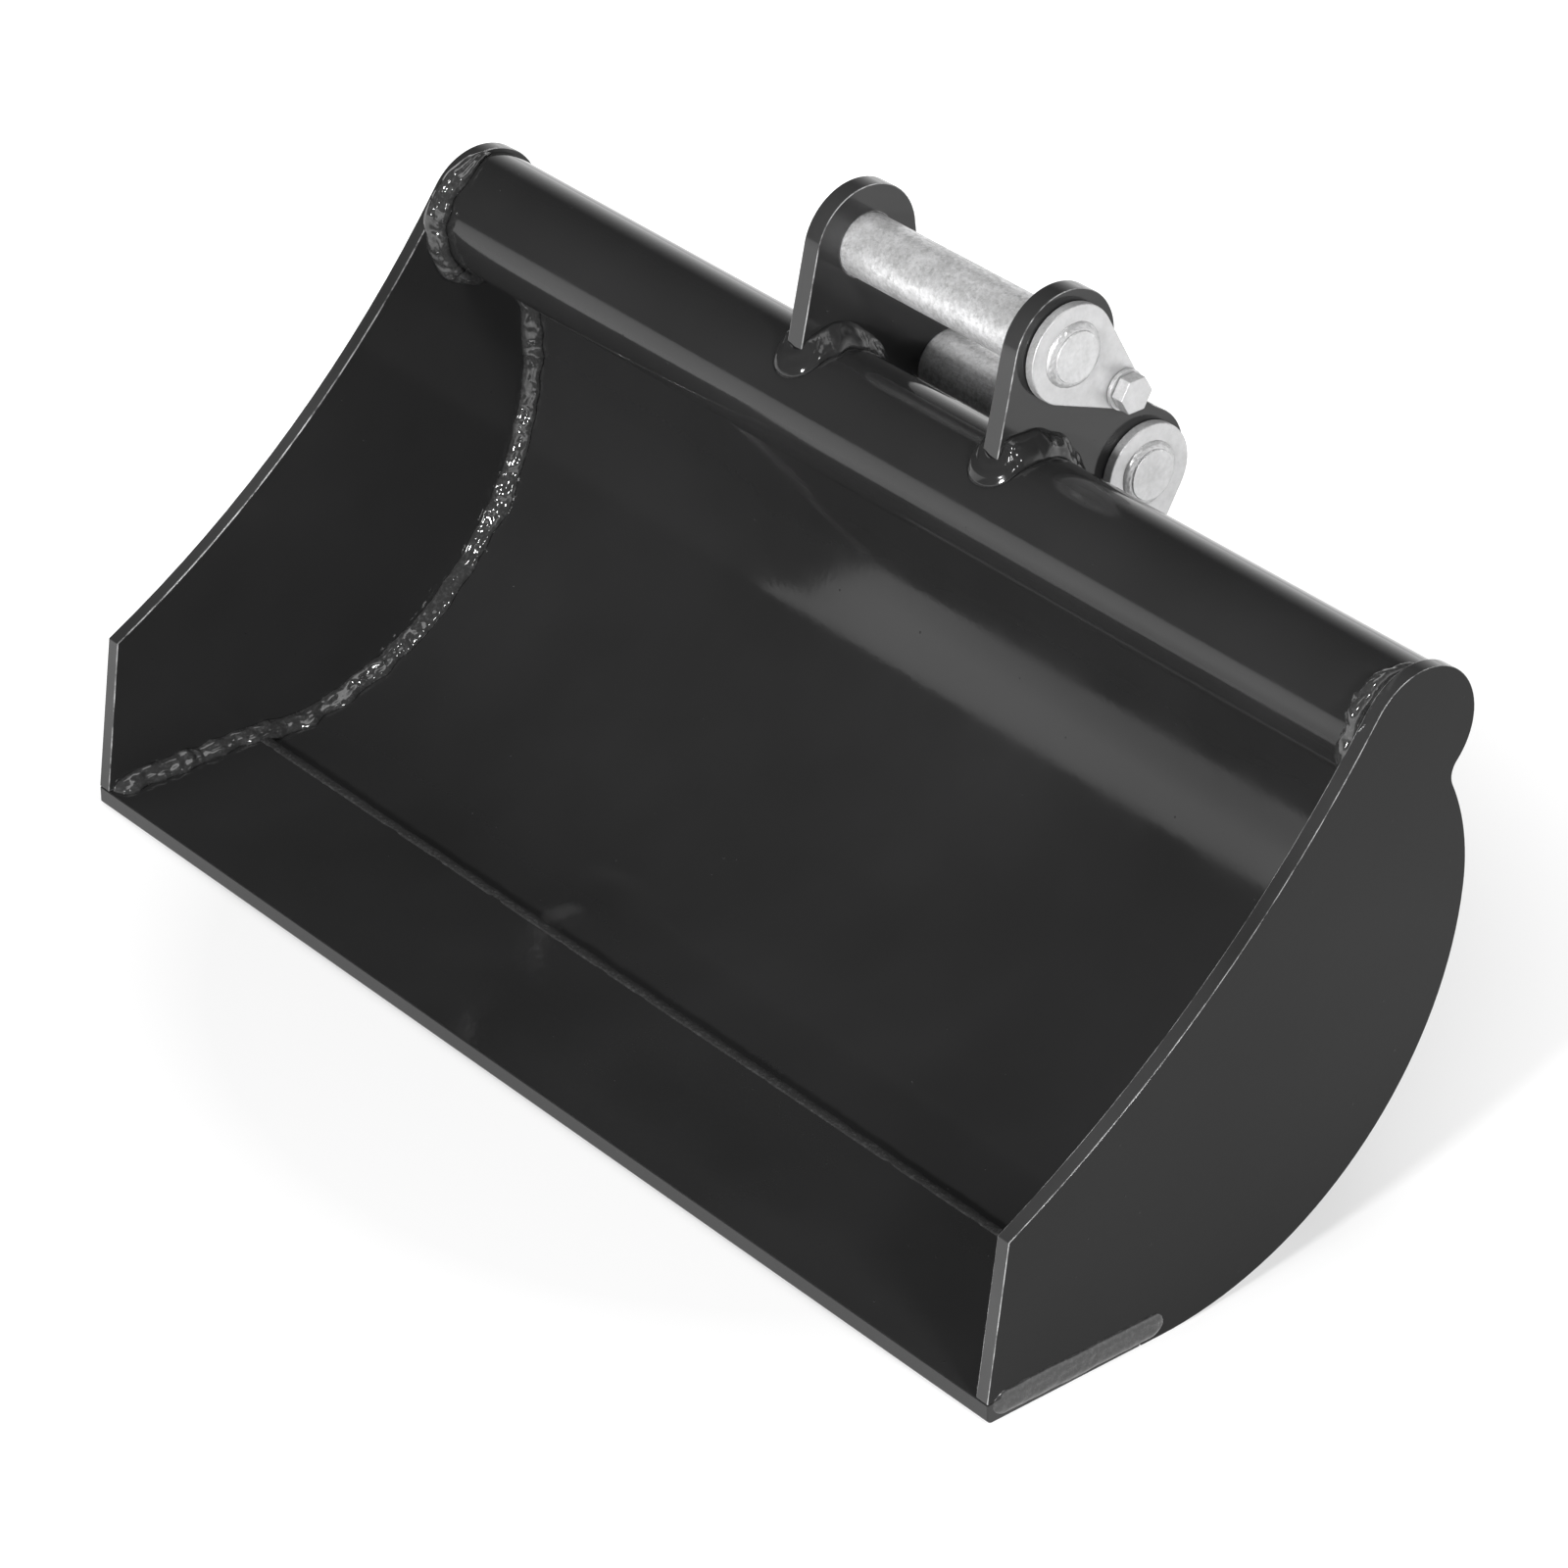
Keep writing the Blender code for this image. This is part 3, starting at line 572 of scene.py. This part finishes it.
def arc_stations(centre, radius, start, end, x, toe_b, inward, swell=1.0):
    """Stations round a circle at x; toe a points to the circle's centre or away from it."""
    stations = []
    for i in range(ARC_STEPS + 1):
        angle = start + (end - start) * i / ARC_STEPS
        toe_a = radial(angle) * (-1 if inward else 1)
        stations.append((at(x, polar(centre, radius, angle)), toe_a, toe_b, swell))
    return stations


def make_inner_corner_welds():
    """Inside, along the corner of side plate and shell, from the lip's front up to the tube."""
    inner_belly = BELLY_RADIUS - WRAPPER_THICKNESS
    inner_back = BACK_RADIUS - WRAPPER_THICKNESS
    top = crossing(BACK_CENTRE, inner_back, TUBE_CENTRE, TUBE_RADIUS + 1 * MM, -1)
    up = Vector((0, 0, 1))
    for side, sign in (("left", -1), ("right", 1)):
        x = sign * INSIDE_X
        inside = Vector((-sign, 0, 0))
        stations = [(at(x, (LIP_FRONT + 2 * MM, LIP_TOP)), up, inside, 0.8),
                    (at(x, (LIP_FRONT + 8 * MM, LIP_TOP)), up, inside, 1.0),
                    (at(x, (LIP_BACK - 3 * MM, LIP_TOP)), up, inside, 0.95),
                    (at(x, (BELLY_START, WRAPPER_THICKNESS)), up, inside, 1.05)]
        stations += arc_stations(BELLY_CENTRE, inner_belly, -89, BACK_START, x, inside, True, 1.0)
        end = direction(BACK_CENTRE, top)
        stations += arc_stations(BACK_CENTRE, inner_back, BACK_START + 1, end, x, inside, True, 1.1)
        piece = bead("weld_inner_corner_" + side, stations, INNER_CORNER_LEGS, bead_looks(11 + sign))
        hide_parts("inner_corner_weld_" + side)


def make_lip_seam_weld():
    """Across the bucket, over the step from the thick lip down to the wrapper."""
    over_lip = radial(SEAM_TOE_ANGLE)
    back = Vector((0, 1, 0))
    reach = INSIDE_X - SEAM_END_GAP
    ends = [at(x, (LIP_BACK, WRAPPER_THICKNESS)) for x in (-reach, reach)]
    looks = bead_looks(3, pitch=4.5 * MM, ripple=0.16 * MM, ridge=0, blob=0.15 * MM, bulge=0.15,
                       wander=0.08, grain=0.15 * MM)
    piece = bead("weld_lip_seam", [(end, over_lip, back, 1.0) for end in ends], LIP_SEAM_LEGS, looks)
    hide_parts("lip_seam_weld")


def make_tube_seam_welds():
    """Where the wrapper's edge lands on the tube: one run inside, three outside."""
    inner = EAR_IN_X - EAR_CLEARANCE
    outer = EAR_OUT_X + EAR_CLEARANCE
    runs = (("tube_seam_weld_inside", WRAPPER_THICKNESS, 1, -INSIDE_X, INSIDE_X),
            ("tube_seam_weld_back_left", 0.0, -1, -INSIDE_X, -outer),
            ("tube_seam_weld_back_middle", 0.0, -1, -inner, inner),
            ("tube_seam_weld_back_right", 0.0, -1, outer, INSIDE_X))
    for node, inset, turn, start, end in runs:
        root = crossing(BACK_CENTRE, BACK_RADIUS - inset, TUBE_CENTRE, TUBE_RADIUS, -1)
        down_wrapper = radial(direction(BACK_CENTRE, root) - 90)
        round_tube = radial(direction(TUBE_CENTRE, root) - 90 * turn)
        stations = [(at(x, root), down_wrapper, round_tube, 1.0) for x in (start, end)]
        looks = bead_looks(len(node), ripple=0.35 * MM, ridge=0, bulge=0.12)
        piece = bead("weld_" + node.replace("_weld", ""), stations, TUBE_SEAM_LEGS, looks)
        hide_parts(node)


def make_tube_end_welds():
    """Round the tube's ends, against the side plates; each grows from a thin start at the top."""
    first, last = TUBE_END_ARC
    for side, sign in (("left", -1), ("right", 1)):
        x = sign * INSIDE_X
        inside = Vector((-sign, 0, 0))
        stations = []
        for angle in range(first, last + 1, TUBE_END_STEP):
            swell = min(1.0, 0.12 + (angle - first) / TUBE_END_SWELL)
            stations.append((at(x, polar(TUBE_CENTRE, TUBE_RADIUS, angle)), radial(angle), inside, swell))
        looks = bead_looks(5 + sign, pitch=3.8 * MM, ripple=0.4 * MM, blob_pitch=14 * MM, blob=1.3 * MM,
                           bulge=0.08, taper=5 * MM, grain=0.25 * MM)
        piece = bead("weld_tube_end_" + side, stations, TUBE_END_LEGS, looks)
        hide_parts("tube_end_weld_" + side)


def make_ear_welds():
    """Up one face of an ear from its heel, over the tube, round the foot and back down the other face."""
    corner = crossing(BACK_CENTRE, BACK_RADIUS, TUBE_CENTRE, TUBE_RADIUS, -1)
    on_tube = direction(TUBE_CENTRE, corner)
    on_back = direction(BACK_CENTRE, corner)
    heel = EAR_HEEL_ANGLE + EAR_HEEL_GAP
    swell_start, swell_end = EAR_SWELL_ARC
    for side, sign in (("left", -1), ("right", 1)):
        half = []
        for x, away in ((sign * EAR_IN_X, -sign), (sign * EAR_OUT_X, sign)):
            beside = Vector((away, 0, 0))
            run = arc_stations(BACK_CENTRE, BACK_RADIUS, heel, on_back, x, beside, False, 0.8)
            for i in range(ARC_STEPS + 1):
                angle = on_tube + (EAR_FOOT_ANGLE - on_tube) * i / ARC_STEPS
                lean = min(angle, EAR_EDGE_ANGLE + (EAR_FOOT_ANGLE - angle) * EAR_LEAN_RATE)
                fullness = max(0.0, (angle - swell_start) / (swell_end - swell_start))
                swell = 0.8 + 0.45 * math.sin(math.pi * fullness)
                run.append((at(x, polar(TUBE_CENTRE, TUBE_RADIUS, angle)), radial(lean), beside, swell))
            half.append(run)
        forward = radial(EAR_FOOT_ANGLE + 90)
        foot = at(sign * (EAR_IN_X + EAR_OUT_X) / 2, polar(TUBE_CENTRE, TUBE_RADIUS, EAR_FOOT_ANGLE + 1))
        turn = [(foot, radial(EAR_EDGE_ANGLE), forward, 0.9)]
        stations = half[0] + turn + half[1][::-1]
        looks = bead_looks(21 + sign, ripple=0.14 * MM, blob_pitch=9 * MM, blob=0.6 * MM, ridge=0.35 * MM,
                           wander=0.26, grain=0.4 * MM)
        piece = bead("weld_ear_" + side, stations, EAR_LEGS, looks, material=PAINT)
        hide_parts("ear_weld_" + side + "_inner", "ear_weld_" + side + "_outer")


def make_lip_end_welds():
    """A flat wash of weld outside, over the joint of the side plate and the lip's end."""
    up = Vector((0, 0, 1))
    for side, sign in (("left", -1), ("right", 1)):
        x = sign * OUTSIDE_X
        stations = [(at(x, (LIP_FRONT + y, z)), up, -up, 1.0) for y, z in LIP_END_LINE]
        looks = bead_looks(31 + sign, ripple=0.15 * MM, blob_pitch=14 * MM, blob=0.2 * MM, bulge=0.09,
                           bow=1.2, ridge=0.35 * MM, wander=0.1, grain=0.12 * MM, taper=6 * MM)
        outward = Vector((sign, 0, 0))
        piece = bead("weld_lip_end_" + side, stations, LIP_END_LEGS, looks, out=outward)
        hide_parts("lip_end_weld_" + side)


def make_pin_welds():
    """Rippled rings between the pins' ends and the flags' faces."""
    for name in ("upper_pin", "lower_pin"):
        low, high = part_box(name + "_weld_ring")
        centre = ((low.y + high.y) / 2, (low.z + high.z) / 2)
        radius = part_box(name + "_bar")[1].y - centre[0]
        spigot = radius - PIN_TURNED_DOWN
        face_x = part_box(name + "_flag")[1].x
        outward = Vector((1, 0, 0))
        stations = []
        for angle in range(0, 361, PIN_RING_STEP):
            stations.append((at(face_x, polar(centre, spigot, angle)), outward, radial(angle), 1.0))
        looks = bead_looks(41, pitch=2.4 * MM, ripple=0.22 * MM, blob=0.15 * MM, bulge=0.06, ridge=0,
                           wander=0.18, grain=0.2 * MM)
        piece = bead("weld_ring_" + name, stations, PIN_RING_LEGS, looks, name, ZINC, True)
        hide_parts(name + "_weld_ring")


# ---------------------------------------------------------------- the CAD's own pieces

# How much of each sharp edge is rounded off.
SIDE_PLATE_EDGE = 0.38 * MM
EAR_EDGE = 0.3 * MM
LIP_EDGE = 0.5 * MM
PIN_EDGES = {"bar": 0.4 * MM, "flag": 0.5 * MM, "washer": 0.25 * MM, "bolt": 0.3 * MM}


def dress(material, name):
    """Give a CAD piece its finished material."""
    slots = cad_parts[name].data.materials
    slots.clear()
    slots.append(material)


def smooth_shading_group():
    """Nodes that join a mesh's faces up and shade its rounds smooth, with sharp edges left crisp."""
    group = bpy.data.node_groups.new("smooth_shading", "GeometryNodeTree")
    group.is_modifier = True
    group.interface.new_socket("Geometry", in_out="INPUT", socket_type="NodeSocketGeometry")
    group.interface.new_socket("Geometry", in_out="OUTPUT", socket_type="NodeSocketGeometry")
    start = group.nodes.new("NodeGroupInput").outputs["Geometry"]
    joined = add_node(group, "GeometryNodeMergeByDistance", Geometry=start,
                      Distance=MERGE_DISTANCE)
    plain = add_node(group, "GeometryNodeRemoveAttribute", Geometry=joined.outputs["Geometry"],
                     Name="custom_normal")
    smooth = add_node(group, "GeometryNodeSetShadeSmooth", Geometry=plain.outputs["Geometry"])
    sharp = group.nodes.new("FunctionNodeCompare")
    sharp.operation = "GREATER_THAN"
    angle = group.nodes.new("GeometryNodeInputMeshEdgeAngle").outputs["Unsigned Angle"]
    group.links.new(angle, sharp.inputs["A"])
    sharp.inputs["B"].default_value = math.radians(SHARP_ANGLE)
    crisp = group.nodes.new("GeometryNodeSetShadeSmooth")
    crisp.domain = "EDGE"
    crisp.inputs["Shade Smooth"].default_value = False
    group.links.new(smooth.outputs["Geometry"], crisp.inputs["Geometry"])
    group.links.new(sharp.outputs["Result"], crisp.inputs["Selection"])
    end = group.nodes.new("NodeGroupOutput")
    group.links.new(crisp.outputs["Geometry"], end.inputs["Geometry"])
    return group


def soften(name, width=0.0):
    """Shade a piece's rounds smooth, and round off its sharp edges by a width."""
    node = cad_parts[name]
    node.modifiers.new("Smooth shading", "NODES").node_group = SMOOTHER
    if width:
        flats = node.modifiers.new("Whole flats", "DECIMATE")
        flats.decimate_type = "DISSOLVE"
        flats.angle_limit = math.radians(FLAT_ANGLE)
        bevel = node.modifiers.new("Soft edges", "BEVEL")
        bevel.width = width
        bevel.segments = 2
        bevel.limit_method = "ANGLE"
        bevel.angle_limit = math.radians(SHARP_ANGLE)
        bevel.use_clamp_overlap = False
        bevel.harden_normals = True


def dress_frame():
    """Every CAD piece that isn't replaced gets its material and its softened edges."""
    for name in ("side_plate_left", "side_plate_right"):
        dress(SIDE_PAINT, name)
        soften(name, SIDE_PLATE_EDGE)
    for name in ("ear_left", "ear_right"):
        dress(PLATE_PAINT, name)
        soften(name, EAR_EDGE)
    for name in ("wrapper_plate", "torque_tube", "cutting_edge"):
        dress(PAINT, name)
    soften("wrapper_plate")
    soften("torque_tube")
    soften("cutting_edge", LIP_EDGE)
    for pin in ("upper_pin", "lower_pin"):
        for part, width in PIN_EDGES.items():
            dress(MOTTLED_ZINC if part == "bar" else ZINC, pin + "_" + part)
            soften(pin + "_" + part, width)


make_camera()
make_studio()
PAINT = paint_material("charcoal_gloss_paint")
PLATE_PAINT = paint_material("charcoal_gloss_paint_on_ears", cut_edges=True)
SIDE_PAINT = paint_material("charcoal_gloss_paint_on_side_plates", cut_edges=True, shaded_outer_faces=True)
WELD_PAINT = weld_material("charcoal_gloss_paint_on_weld")
ZINC = zinc_material("zinc_plate", 0.36, 0.5, 0.05 * MM)
MOTTLED_ZINC = zinc_material("zinc_plate_on_pins", 0.36, 0.76, 0.16 * MM)
SMOOTHER = smooth_shading_group()
dress_frame()
make_inner_corner_welds()
make_lip_seam_weld()
make_tube_seam_welds()
make_tube_end_welds()
make_ear_welds()
make_lip_end_welds()
make_pin_welds()
